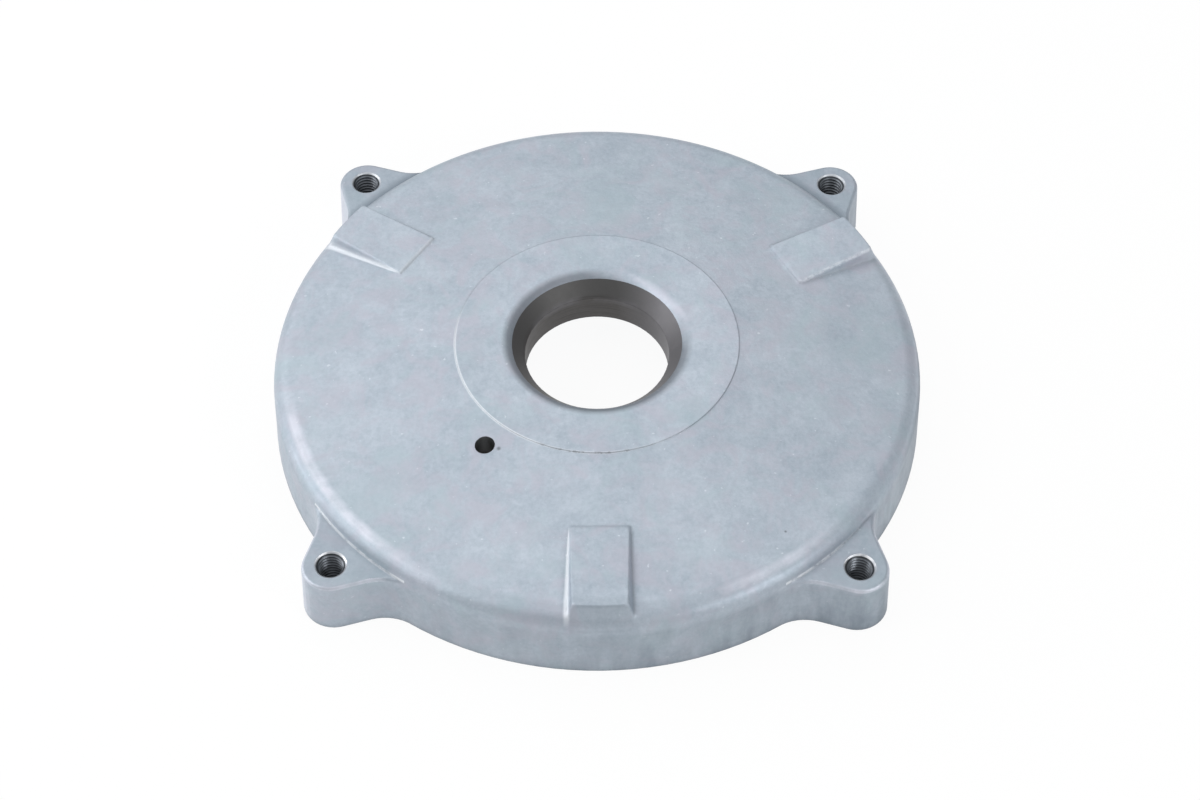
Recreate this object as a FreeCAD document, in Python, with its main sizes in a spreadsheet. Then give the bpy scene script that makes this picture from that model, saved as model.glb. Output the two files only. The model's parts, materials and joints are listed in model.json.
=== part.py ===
# Motor cover: one aluminium casting with a machined shaft bore and four tapped ears.
# Millimetres, +Z up. The origin is on the shaft axis, in the plane of the open base.
import FreeCAD, Part
import Sketcher
import math
import os

DOC = FreeCAD.newDocument("MotorCover")
SHEET = DOC.addObject("Spreadsheet::Sheet", "Sizes")

# Each size: its name, its value in millimetres or degrees, and what it measures.
SIZES = (
    ("disc_radius", 98.0, "round wall, outer radius at the base"),
    ("wall_draft", 3.0, "lean of the cast walls, degrees"),
    ("rim_round", 5.4, "rounding between the round wall and the sloping face"),
    ("face_slope", 7.0, "fall of the face from the land to the rim, degrees"),
    ("land_height", 28.5, "flat land around the shaft, above the base"),
    ("land_width", 14.0, "flat land, from the mouth to its outer edge"),
    ("land_step", 0.25, "step from the sloping face up to the land"),
    ("mouth_round", 4.4, "cast rounding of the mouth"),
    ("mouth_width", 3.0, "cast rounding of the mouth, width seen from above"),
    ("lead_in_width", 3.8, "machined lead-in cone, width seen from above"),
    ("lead_in_slope", 52.0, "machined lead-in cone, slope from level, degrees"),
    ("bore_radius", 21.6, "machined shaft bore"),
    ("hub_bottom", 14.0, "lower face of the hub, above the base"),
    ("hub_wall", 7.4, "hub wall around the bore, at its lower face"),
    ("hub_foot_round", 0.8, "rounding of the hub's lower outer edge"),
    ("hub_root_round", 3.0, "rounding where the hub meets the ceiling"),
    ("ring_wall", 6.5, "thickness of the round wall"),
    ("face_thickness", 5.5, "thickness of the face"),
    ("ring_root_round", 4.0, "rounding where the round wall meets the ceiling"),
    ("ear_count", 4, "ears around the wall"),
    ("ear_angle", 45.0, "direction of the first ear, degrees"),
    ("ear_hole_outset", 7.5, "tapped holes, distance outside the round wall's base"),
    ("ear_end_radius", 9.3, "rounded end of an ear, at the base"),
    ("ear_flank_angle", 28.0, "opening of an ear's flanks from its axis, degrees"),
    ("ear_blend", 14.0, "hollow rounding between an ear and the wall, at the base"),
    ("ear_merge", 0.05, "how far the hollow rounding runs into the round wall"),
    ("ear_root_depth", 4.0, "how far an ear is rooted in the round wall"),
    ("ear_height", 18.0, "top of an ear, above the base"),
    ("ear_edge_round", 1.2, "rounding of an ear's upper edge"),
    ("thread_radius", 4.0, "tapped hole, radius over the thread"),
    ("thread_mouth", 0.6, "chamfer at the mouth of a tapped hole"),
    ("pad_drop", 2.5, "level top of a pad, below the land"),
    ("pad_inner_radius", 66.5, "inner end of a pad"),
    ("pad_outer_inset", 4.6, "outer end of a pad, inside the round wall's base"),
    ("pad_inner_width", 17.0, "pad width at its inner end"),
    ("pad_outer_width", 15.4, "pad width at its outer end"),
    ("pad_taper", 20.0, "lean of a pad's sides, degrees"),
    ("pad_root_gap", 0.6, "lowest part of a pad, above the ears, inside the wall"),
    ("pad_corner_round", 1.0, "rounding of a pad's upright corners"),
    ("pad_edge_round", 0.5, "rounding of a pad's top edges"),
    ("pad_front_angle", 271.0, "direction of the front pad, degrees"),
    ("pad_right_angle", 30.0, "direction of the right pad, degrees"),
    ("pad_left_angle", 147.0, "direction of the left pad, degrees"),
    ("small_hole_radius", 2.9, "small through hole in the face"),
    ("small_hole_outset", 8.0, "small hole, distance outside the land's edge"),
    ("small_hole_angle", 230.5, "direction of the small hole, degrees"),
    ("boss_wall", 3.2, "metal around the small hole, under the face"),
    ("boss_foot_round", 0.8, "rounding of the boss's lower outer edge"),
    ("base_edge_chamfer", 0.6, "chamfer of the open base's inner edge"),
    ("cut_margin", 1.0, "how far a cut starts outside the metal"),
)

for row, (name, size, note) in enumerate(SIZES, start=1):
    SHEET.set(f"A{row}", note)
    SHEET.set(f"B{row}", str(size))
    SHEET.setAlias(f"B{row}", name)
DOC.recompute()


def value(expression):
    """The number that an expression of the sheet's sizes gives now."""
    return float(SHEET.evalExpression(expression))


def origin_feature(body, role):
    for feature in body.Origin.OriginFeatures:
        if feature.Role == role:
            return feature
    raise ValueError(f"no {role}")


def new_sketch(body, name, role):
    sketch = body.newObject("Sketcher::SketchObject", name)
    sketch.AttachmentSupport = [(origin_feature(body, role), "")]
    sketch.MapMode = "FlatFace"
    return sketch


def pin(sketch, axis, geometry, end, expression):
    """Tie one coordinate of a point to the sheet, from the sketch's origin."""
    size = value(expression)
    if size < 0:
        constraint = Sketcher.Constraint(f"Distance{axis}", geometry, end, -1, 1, -size)
        expression = f"-({expression})"
    else:
        constraint = Sketcher.Constraint(f"Distance{axis}", -1, 1, geometry, end, size)
    index = sketch.addConstraint(constraint)
    sketch.setExpression(f"Constraints[{index}]", expression)


def short_arc(start, end, centre_x, centre_y, radius):
    """The arc of less than half a turn between two points, running anticlockwise."""
    centre = FreeCAD.Vector(centre_x, centre_y, 0)
    if (start - centre).cross(end - centre).z < 0:
        start, end = end, start
    first, last = (math.atan2(p.y - centre.y, p.x - centre.x) for p in (start, end))
    circle = Part.Circle(centre, FreeCAD.Vector(0, 0, 1), radius)
    return Part.ArcOfCircle(circle, first, last if last > first else last + 2 * math.pi)


def outline(sketch, corners, arcs=None):
    """Closed outline through corners, each a pair of expressions. arcs[i] makes the
    side after corner i an arc: its centre as two expressions and its radius."""
    arcs = arcs or {}
    points = [FreeCAD.Vector(value(x), value(y), 0) for x, y in corners]
    count = len(points)
    for i in range(count):
        start, end = points[i], points[(i + 1) % count]
        if i in arcs:
            sketch.addGeometry(short_arc(start, end, *map(value, arcs[i])))
        else:
            sketch.addGeometry(Part.LineSegment(start, end))
    for i, (x, y) in enumerate(corners):
        here, before = sketch.Geometry[i], (i - 1) % count
        start = 1 if (here.StartPoint - points[i]).Length < (here.EndPoint - points[i]).Length else 2
        last = sketch.Geometry[before]
        finish = 2 if (last.EndPoint - points[i]).Length < (last.StartPoint - points[i]).Length else 1
        sketch.addConstraint(Sketcher.Constraint("Coincident", before, finish, i, start))
        pin(sketch, "X", i, start, x)
        pin(sketch, "Y", i, start, y)
    for i, (_, _, radius) in arcs.items():
        index = sketch.addConstraint(Sketcher.Constraint("Radius", i, value(radius)))
        sketch.setExpression(f"Constraints[{index}]", radius)


def lone_circle(sketch, radius, pitch_radius):
    """A circle centred on the sketch's X axis, this far from its origin."""
    centre = FreeCAD.Vector(value(pitch_radius), 0, 0)
    sketch.addGeometry(Part.Circle(centre, FreeCAD.Vector(0, 0, 1), value(radius)))
    pin(sketch, "X", 0, 3, pitch_radius)
    sketch.addConstraint(Sketcher.Constraint("PointOnObject", 0, 3, -1))
    index = sketch.addConstraint(Sketcher.Constraint("Radius", 0, value(radius)))
    sketch.setExpression(f"Constraints[{index}]", radius)


def turn(body, kind, name, sketch):
    """Revolve a half section about the shaft axis, adding or cutting."""
    feature = body.newObject(f"PartDesign::{kind}", name)
    feature.Profile = sketch
    feature.ReferenceAxis = (sketch, ["V_Axis"])
    feature.Angle = 360
    DOC.recompute()
    return feature


def dress(body, kind, name, size_name, expression, keep):
    """Fillet or chamfer the edges of the body's last shape that keep() picks."""
    base = body.Tip
    names = [f"Edge{i}" for i, edge in enumerate(base.Shape.Edges, start=1) if keep(edge)]
    if not names:
        raise ValueError(f"no edges for {name}")
    feature = body.newObject(f"PartDesign::{kind}", name)
    feature.Base = (base, names)
    feature.setExpression(size_name, expression)
    DOC.recompute()
    return feature


def near(a, b, slack=1e-3):
    return abs(a - b) < slack


def is_ring(edge, radius, height):
    """True for a circle about the shaft axis of this radius at this height."""
    curve = edge.Curve
    if not isinstance(curve, Part.Circle):
        return False
    centred = math.hypot(curve.Center.x, curve.Center.y) < 1e-3
    return centred and near(curve.Radius, radius) and near(curve.Center.z, height)


def middle_of(edge):
    first, last = edge.ParameterRange
    return edge.valueAt((first + last) / 2)


def axis_distance(point):
    return math.hypot(point.x, point.y)


def spans(edge, low, high):
    """True for an edge that reaches from this height to that one."""
    return near(edge.BoundBox.ZMin, low) and near(edge.BoundBox.ZMax, high)


# Radii from the shaft outwards and the boss, then the pads' heights, from the sizes.
LEAD_IN = "(Sizes.bore_radius + Sizes.lead_in_width)"
MOUTH = f"({LEAD_IN} + Sizes.mouth_width)"
LAND = f"({MOUTH} + Sizes.land_width)"
SMALL_HOLE = f"({LAND} + Sizes.small_hole_outset)"
BOSS = "(Sizes.small_hole_radius + Sizes.boss_wall)"
PAD_END = "(Sizes.disc_radius - Sizes.pad_outer_inset)"
EAR_HOLE = "(Sizes.disc_radius + Sizes.ear_hole_outset)"
PAD_TOP = "(Sizes.land_height - Sizes.pad_drop)"
PAD_ROOT = "(Sizes.ear_height + Sizes.pad_root_gap)"

# The sloping face and the leaning wall.
FACE_TOP = "(Sizes.land_height - Sizes.land_step)"
CEILING = "(Sizes.land_height - Sizes.face_thickness)"
LEAN = "tan(Sizes.wall_draft * 1 deg)"
FALL = "tan(Sizes.face_slope * 1 deg)"


def crossing(wall_radius, top):
    """Where a leaning wall from the base meets a face that falls away from the land."""
    radius = (
        f"(({wall_radius} - ({top} + {LAND} * {FALL}) * {LEAN})"
        f" / (1 - {FALL} * {LEAN}))"
    )
    return radius, f"({top} - ({radius} - {LAND}) * {FALL})"


def pad_of(body, name, sketch, length, taper, reverse=False):
    """Extrude a sketch with leaning sides."""
    feature = body.newObject("PartDesign::Pad", name)
    feature.Profile = sketch
    feature.setExpression("Length", length)
    feature.setExpression("TaperAngle", taper)
    feature.Reversed = reverse
    DOC.recompute()
    return feature


def ring_of(body, name, feature):
    """Repeat a feature once for each ear, around the shaft axis."""
    ring = body.newObject("PartDesign::PolarPattern", name)
    ring.Originals = [feature]
    ring.Axis = (origin_feature(body, "Z_Axis"), [""])
    ring.Angle = 360
    ring.setExpression("Occurrences", "Sizes.ear_count")
    body.Tip = ring
    DOC.recompute()
    return ring


def cast_ears(body):
    """Ears, their flanks opening towards the wall in large hollow roundings."""
    sketch = new_sketch(body, "EarOutline", "XY_Plane")
    sketch.setExpression("AttachmentOffset.Rotation.Angle", "Sizes.ear_angle * 1 deg")
    lean = "(Sizes.ear_flank_angle * 1 deg)"
    end = (f"({EAR_HOLE} + Sizes.ear_end_radius * sin({lean}))",
           f"(Sizes.ear_end_radius * cos({lean}))")
    # The hollow's centre is one rounding away from both the flank and the round wall.
    centre_radius = "(Sizes.disc_radius + Sizes.ear_blend - Sizes.ear_merge)"
    to_flank = (f"({EAR_HOLE} * sin({lean})"
                " + Sizes.ear_end_radius + Sizes.ear_blend)")
    swing = f"(asin({to_flank} / {centre_radius}) - {lean})"
    centre = f"({centre_radius} * cos({swing}))", f"({centre_radius} * sin({swing}))"
    flank = (f"({centre[0]} - Sizes.ear_blend * sin({lean}))",
             f"({centre[1]} - Sizes.ear_blend * cos({lean}))")
    wall = "(Sizes.disc_radius - Sizes.ear_merge)"
    root = "(Sizes.disc_radius - Sizes.ear_root_depth)"
    half = [(f"({radius} * cos({swing}))", f"({radius} * sin({swing}))")
            for radius in (root, wall)] + [flank, end]
    corners = [(x, f"-{y}") for x, y in half] + half[::-1]
    arcs = {
        1: (centre[0], f"-{centre[1]}", "Sizes.ear_blend"),
        3: (EAR_HOLE, "0", "Sizes.ear_end_radius"),
        5: (centre[0], centre[1], "Sizes.ear_blend"),
    }
    outline(sketch, corners, arcs)
    ear = pad_of(body, "Ear", sketch, "Sizes.ear_height", "-Sizes.wall_draft")
    ring_of(body, "EarRing", ear)
    # From the rounded end the fillet follows the flanks and hollows by itself.
    top, pitch = value("Sizes.ear_height"), value(EAR_HOLE)
    dress(body, "Fillet", "EarEdgeRound", "Radius", "Sizes.ear_edge_round",
          lambda edge: spans(edge, top, top) and axis_distance(middle_of(edge)) > pitch)


def cast_pads(body):
    """Three raised pads with level tops, from the sloping face out over the rim."""
    outer_x = f"(sqrt({PAD_END} ^ 2 - (Sizes.pad_outer_width / 2) ^ 2))"
    corners = (
        ("Sizes.pad_inner_radius", "-Sizes.pad_inner_width / 2"),
        (outer_x, "-Sizes.pad_outer_width / 2"),
        (outer_x, "Sizes.pad_outer_width / 2"),
        ("Sizes.pad_inner_radius", "Sizes.pad_inner_width / 2"),
    )
    for side in ("Front", "Right", "Left"):
        sketch = new_sketch(body, f"{side}PadOutline", "XY_Plane")
        angle = f"Sizes.pad_{side.lower()}_angle * 1 deg"
        sketch.setExpression("AttachmentOffset.Rotation.Angle", angle)
        sketch.setExpression("AttachmentOffset.Base.z", PAD_TOP)
        outline(sketch, corners, {1: ("0", "0", PAD_END)})
        pad_of(body, f"{side}Pad", sketch, f"{PAD_TOP} - {PAD_ROOT}",
               "Sizes.pad_taper", reverse=True)
    top, root = value(PAD_TOP), value(PAD_ROOT)
    middle = (value("Sizes.pad_inner_radius") + value(PAD_END)) / 2
    dress(body, "Fillet", "PadCornerRound", "Radius", "Sizes.pad_corner_round",
          lambda edge: spans(edge, root, top) and axis_distance(middle_of(edge)) > middle)
    dress(body, "Fillet", "PadEdgeRound", "Radius", "Sizes.pad_edge_round",
          lambda edge: spans(edge, top, top))


def cast_disc(body):
    """The solid disc: leaning wall, rounded rim, sloping face and raised land."""
    sketch = new_sketch(body, "DiscSection", "XZ_Plane")
    radius, height = crossing("Sizes.disc_radius", FACE_TOP)
    half_turn = "((90 - Sizes.wall_draft - Sizes.face_slope) / 2 * 1 deg)"
    run = f"(Sizes.rim_round * tan({half_turn}))"
    lean, fall = "(Sizes.wall_draft * 1 deg)", "(Sizes.face_slope * 1 deg)"
    low = f"({radius} + {run} * sin({lean}))", f"({height} - {run} * cos({lean}))"
    high = f"({radius} - {run} * cos({fall}))", f"({height} + {run} * sin({fall}))"
    centre = (f"({low[0]} - Sizes.rim_round * cos({lean}))",
              f"({low[1]} - Sizes.rim_round * sin({lean}))")
    corners = (
        ("0", "0"),
        ("Sizes.disc_radius", "0"),
        low,
        high,
        (LAND, FACE_TOP),
        (LAND, "Sizes.land_height"),
        ("0", "Sizes.land_height"),
    )
    outline(sketch, corners, {2: (centre[0], centre[1], "Sizes.rim_round")})
    turn(body, "Revolution", "Disc", sketch)


def open_underside(body):
    """The hollow under the face, leaving the ring wall and the hub."""
    sketch = new_sketch(body, "UndersideSection", "XZ_Plane")
    hub = "(Sizes.bore_radius + Sizes.hub_wall)"
    hub_root = f"({hub} + ({CEILING} - Sizes.hub_bottom) * {LEAN})"
    wall = "(Sizes.disc_radius - Sizes.ring_wall)"
    corners = (
        ("0", "-Sizes.cut_margin"),
        ("0", "Sizes.hub_bottom"),
        (hub, "Sizes.hub_bottom"),
        (hub_root, CEILING),
        (LAND, CEILING),
        crossing(wall, CEILING),
        (f"({wall} - Sizes.base_edge_chamfer * {LEAN})", "Sizes.base_edge_chamfer"),
        (f"({wall} + Sizes.base_edge_chamfer)", "0"),
        (f"({wall} + Sizes.base_edge_chamfer)", "-Sizes.cut_margin"),
    )
    outline(sketch, corners)
    turn(body, "Groove", "Underside", sketch)
    for name, size, radius, height in (
        ("HubRootRound", "hub_root_round", hub_root, CEILING),
        ("RingRootRound", "ring_root_round", *crossing(wall, CEILING)),
        ("HubFootRound", "hub_foot_round", hub, "Sizes.hub_bottom"),
    ):
        at = value(radius), value(height)
        dress(body, "Fillet", name, "Radius", f"Sizes.{size}",
              lambda edge: is_ring(edge, *at))


def open_bore(body):
    """The shaft opening: cast rounding, machined lead-in cone and straight bore."""
    sketch = new_sketch(body, "BoreSection", "XZ_Plane")
    centre_z = "(Sizes.land_height - Sizes.mouth_round)"
    lead_in_top = (f"({centre_z} + sqrt(Sizes.mouth_round ^ 2"
                   " - Sizes.mouth_width ^ 2))")
    drop = "(Sizes.lead_in_width * tan(Sizes.lead_in_slope * 1 deg))"
    corners = (
        ("0", "Sizes.hub_bottom - Sizes.cut_margin"),
        ("Sizes.bore_radius", "Sizes.hub_bottom - Sizes.cut_margin"),
        ("Sizes.bore_radius", f"{lead_in_top} - {drop}"),
        (LEAD_IN, lead_in_top),
        (MOUTH, "Sizes.land_height"),
        (MOUTH, "Sizes.land_height + Sizes.cut_margin"),
        ("0", "Sizes.land_height + Sizes.cut_margin"),
    )
    outline(sketch, corners, {3: (MOUTH, centre_z, "Sizes.mouth_round")})
    turn(body, "Groove", "Bore", sketch)


def cast_boss(body):
    """A round boss under the face, as deep as the hub, that the small hole runs through."""
    sketch = new_sketch(body, "BossCircle", "XY_Plane")
    sketch.setExpression("AttachmentOffset.Rotation.Angle", "Sizes.small_hole_angle * 1 deg")
    sketch.setExpression("AttachmentOffset.Base.z", "Sizes.hub_bottom")
    lone_circle(sketch, BOSS, SMALL_HOLE)
    pad_of(body, "Boss", sketch, f"{CEILING} - Sizes.hub_bottom", "0")
    radius, height = value(BOSS), value("Sizes.hub_bottom")
    dress(body, "Fillet", "BossFootRound", "Radius", "Sizes.boss_foot_round",
          lambda edge: isinstance(edge.Curve, Part.Circle)
          and near(edge.Curve.Radius, radius)
          and near(edge.Curve.Center.z, height))


def drill(body, name, radius, pitch_radius, angle):
    """A round hole upwards through the metal, at this direction from the shaft axis."""
    sketch = new_sketch(body, f"{name}Circle", "XY_Plane")
    sketch.setExpression("AttachmentOffset.Rotation.Angle", f"{angle} * 1 deg")
    lone_circle(sketch, radius, pitch_radius)
    hole = body.newObject("PartDesign::Pocket", name)
    hole.Profile = sketch
    hole.Type = "ThroughAll"
    hole.Reversed = True
    DOC.recompute()
    return hole


def tap_ears(body):
    """A tapped hole through each ear, chamfered at both mouths."""
    hole = drill(body, "EarHole", "Sizes.thread_radius", EAR_HOLE,
                 "Sizes.ear_angle")
    ring_of(body, "EarHoleRing", hole)
    radius, pitch = value("Sizes.thread_radius"), value(EAR_HOLE)
    dress(body, "Chamfer", "EarHoleMouth", "Size", "Sizes.thread_mouth",
          lambda edge: isinstance(edge.Curve, Part.Circle)
          and near(edge.Curve.Radius, radius)
          and near(axis_distance(edge.Curve.Center), pitch))


def check_states():
    """Stop at the first object that did not recompute cleanly."""
    for item in DOC.Objects:
        if {"Invalid", "Error"} & set(item.State):
            raise RuntimeError(f"{item.Name}: {item.State}")


def check_shape(shape):
    """Stop unless the finished shape is one sound solid."""
    if shape.isNull() or not shape.isValid() or len(shape.Solids) != 1:
        raise RuntimeError("the finished shape is not one sound solid")


def main():
    body = DOC.addObject("PartDesign::Body", "MotorCoverBody")
    body.Label = "motor_cover"
    # The ears and pads stand apart until the disc joins them.
    body.AllowCompound = True
    cast_ears(body)
    cast_pads(body)
    cast_disc(body)
    open_underside(body)
    cast_boss(body)
    open_bore(body)
    tap_ears(body)
    drill(body, "SmallHole", "Sizes.small_hole_radius", SMALL_HOLE,
          "Sizes.small_hole_angle")
    DOC.recompute()
    check_states()
    check_shape(body.Shape)
    os.makedirs("parts", exist_ok=True)
    body.Shape.exportStep(os.path.join("parts", f"{body.Label}.step"))


main()
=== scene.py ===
"""Motor cover: dresses the CAD casting with its finishes, cuts its threads and sets the stage."""

import json
import math
from functools import cached_property

import bmesh
import bpy
from bpy.props import (
    FloatProperty,
    FloatVectorProperty,
    IntProperty,
    PointerProperty,
)
from mathutils import Matrix, Vector


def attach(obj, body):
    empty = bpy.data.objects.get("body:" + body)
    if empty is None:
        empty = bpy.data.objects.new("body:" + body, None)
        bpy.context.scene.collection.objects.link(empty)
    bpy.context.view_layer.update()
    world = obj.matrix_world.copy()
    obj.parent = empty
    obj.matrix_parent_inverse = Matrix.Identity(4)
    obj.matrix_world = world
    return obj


bl_info = {
    "name": "Motor Cover",
    "version": (1, 0, 0),
    "blender": (4, 5, 0),
    "location": "3D View > Sidebar > Motor Cover",
    "description": "Finishes the cast motor cover, cuts its ear threads and sets its stage",
    "category": "Object",
}

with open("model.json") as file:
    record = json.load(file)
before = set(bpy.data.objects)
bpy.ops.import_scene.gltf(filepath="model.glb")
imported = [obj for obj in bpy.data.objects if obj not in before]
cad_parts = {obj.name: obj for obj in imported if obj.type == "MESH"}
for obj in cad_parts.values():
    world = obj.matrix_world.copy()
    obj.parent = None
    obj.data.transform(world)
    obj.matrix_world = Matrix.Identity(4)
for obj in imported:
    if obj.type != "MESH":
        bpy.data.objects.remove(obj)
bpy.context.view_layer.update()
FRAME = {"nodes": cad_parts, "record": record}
COVER = "motor_cover"
MM = 0.001


def mount(name):
    """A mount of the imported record, by name."""
    for entry in FRAME["record"]["mounts"]:
        if entry["name"] == name:
            return entry
    raise ValueError(f"the record has no mount {name}")


EARS = mount("ear_threads")
SMALL_HOLE = mount("small_hole")

# Heights above the base
HUB_BASE = 14.05 * MM
EAR_TOP = 18 * MM
PAD_TOP = 26 * MM
LAND_TOP = 28.5 * MM

# Distances from the shaft's axis
MOUTH_EDGE = 28.4 * MM
LAND_EDGE = 42.4 * MM
PAD_ENDS = 66.5 * MM, 92 * MM
EAR_CREASE = 96.95 * MM

# Ear holes: their offset from the shaft along x and y, and their radius
EAR_OFFSET = EARS["dims"]["pcd_mm"] * MM / 2 / math.sqrt(2)
EAR_HOLE = EARS["dims"]["hole_r_mm"] * MM

# Directions from the shaft, anticlockwise from +X
RIGHT_PAD = math.radians(30)
LEFT_PAD = math.radians(147)
LEFT_RIM = math.radians(205)
FRONT_PAD = math.radians(271)

# Places of two small marks on the face
DIMPLE = -28.0 * MM, -40.3 * MM
SPECK = 53.7 * MM, -66.0 * MM

# Colours of small places that follow no setting
# A dark speck, and the dimple's painted shade
SPECK_COLOUR = 0.05, 0.055, 0.06
# Painted shade in the land's pits
PIT_COLOUR = 0.16, 0.175, 0.19
# Painted highlight on the rim and on the ears' top edges and left sides
HIGHLIGHT_COLOUR = 0.84, 0.84, 0.93
SHADED_MOUTH_COLOUR = 0.165, 0.18, 0.205
LIT_MOUTH_COLOUR = 0.78, 0.76, 0.86
SHINE_COLOUR = 0.93, 0.94, 0.97
# Painted shade deep in the small hole
HOLE_SHADE_COLOUR = 0.01, 0.01, 0.01

# Stage: lengths in metres, the sensor in millimetres
FLOOR_RADIUS = 4.0
FLOOR_GAP = 0.05 * MM
SENSOR_WIDTH = 36
CAMERA_REACH = 20
LAMP_TARGET = 0, 0, 0.015

# Lamps: name, place, width, height and power
LAMPS = (
    ("top_lamp", (0, 0, 1.1), 0.9, 0.9, 2.2),
    ("back_lamp", (0, 0.75, 0.85), 0.8, 0.8, 1.9),
    ("left_lamp", (-0.95, 0.08, 0.24), 0.5, 0.35, 2.4),
    ("key_lamp", (-0.8, -0.2, 0.8), 0.6, 0.6, 2.7),
    ("side_lamp", (0.70, -0.55, 0.60), 0.3, 0.3, 2.6),
    ("far_lamp", (-0.67, 0.67, 0.60), 0.6, 0.6, 1.5),
)


class CastFinish(bpy.types.PropertyGroup):
    """The as-cast skin of the cover."""

    colour: FloatVectorProperty(
        name="Skin colour", description="Even colour of the cast skin",
        subtype="COLOR", size=3, min=0, max=1, default=(0.51, 0.565, 0.63))
    dark_colour: FloatVectorProperty(
        name="Stain colour", description="Colour of the darker clouds in the skin",
        subtype="COLOR", size=3, min=0, max=1, default=(0.33, 0.39, 0.455))
    warm_colour: FloatVectorProperty(
        name="Warm colour", description="Colour of the warmer patches in the skin",
        subtype="COLOR", size=3, min=0, max=1, default=(0.475, 0.475, 0.545))
    cool_colour: FloatVectorProperty(
        name="Cool colour", description="Colour of the cooler, greener patches in the skin",
        subtype="COLOR", size=3, min=0, max=1, default=(0.41, 0.505, 0.55))
    # Pin pricks are the skin's own; the same colour serves the painted highlights on edges,
    # hollows and pads
    bright_colour: FloatVectorProperty(
        name="Bright colour", description="Colour of bare pin pricks and highlighted edges",
        subtype="COLOR", size=3, min=0, max=1, default=(0.84, 0.87, 0.91))
    roughness: FloatProperty(
        name="Roughness", description="Roughness of the cast skin",
        subtype="FACTOR", min=0, max=1, default=0.5)
    metal: FloatProperty(
        name="Metallic", description="How much of the skin shines as bare metal",
        subtype="FACTOR", min=0, max=1, default=0.6)
    cloud_size: FloatProperty(
        name="Cloud size", description="Size of the darker and lighter clouds",
        subtype="DISTANCE", unit="LENGTH", default=22 * MM)
    grain_size: FloatProperty(
        name="Grain size", description="Size of the grain that the mould leaves",
        subtype="DISTANCE", unit="LENGTH", default=0.9 * MM)
    grain_depth: FloatProperty(
        name="Grain depth", description="Height of the grain",
        subtype="DISTANCE", unit="LENGTH", default=0.06 * MM)
    # Painted shade in the creases
    crease_reach: FloatProperty(
        name="Crease reach", description="How far a crease's darker grime spreads",
        subtype="DISTANCE", unit="LENGTH", default=2.5 * MM)
    crease_darkness: FloatProperty(
        name="Crease darkness", description="Darkness of the grime in the creases",
        subtype="FACTOR", min=0, max=1, default=0.5)
    mouth_darkness: FloatProperty(
        name="Mouth darkness", description="Darkness of the bore's rounded mouth",
        subtype="FACTOR", min=0, max=1, default=0.68)
    ear_darkness: FloatProperty(
        name="Ear darkness", description="Darkness of the ears' tops against the face",
        subtype="FACTOR", min=0, max=1, default=0.35)
    # Painted shade on the round wall and on the front pad's end
    wall_darkness: FloatProperty(
        name="Wall darkness", description="Darkness of the round wall against the face",
        subtype="FACTOR", min=0, max=1, default=0.28)
    # Painted highlight in the hollows beside two pads
    foot_highlight: FloatProperty(
        name="Foot brightness", description="Brightness of the rubbed hollows beside two pads",
        subtype="FACTOR", min=0, max=1, default=0.6)
    mark_darkness: FloatProperty(
        name="Mark darkness", description="Darkness of the dimple, the speck and the pits",
        subtype="FACTOR", min=0, max=1, default=0.6)
    # Painted highlight along the land's near edge
    land_edge_highlight: FloatProperty(
        name="Land line", description="Brightness of the line at the land's near edge",
        subtype="FACTOR", min=0, max=1, default=0.6)
    # Painted highlight where the front ears meet the wall
    ear_crease_highlight: FloatProperty(
        name="Trim brightness", description="Brightness of the highlighted line at the front ears",
        subtype="FACTOR", min=0, max=1, default=0.9)
    # Painted highlight on the rim at the front left
    rim_highlight: FloatProperty(
        name="Rim brightness", description="Brightness of the rubbed rim at the front left",
        subtype="FACTOR", min=0, max=1, default=0.5)
    # Painted highlight on the ears' top edges
    ear_edge_highlight: FloatProperty(
        name="Edge brightness", description="Brightness of the ears' shining top edges",
        subtype="FACTOR", min=0, max=1, default=0.48)
    foot_softness: FloatProperty(
        name="Foot softness", description="Radius of the soft hollow at a pad's or an ear's foot",
        subtype="DISTANCE", unit="LENGTH", default=2.0 * MM)
    edge_softness: FloatProperty(
        name="Edge softness", description="Radius over which sharp cast edges look rounded",
        subtype="DISTANCE", unit="LENGTH", default=0.5 * MM)


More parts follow.
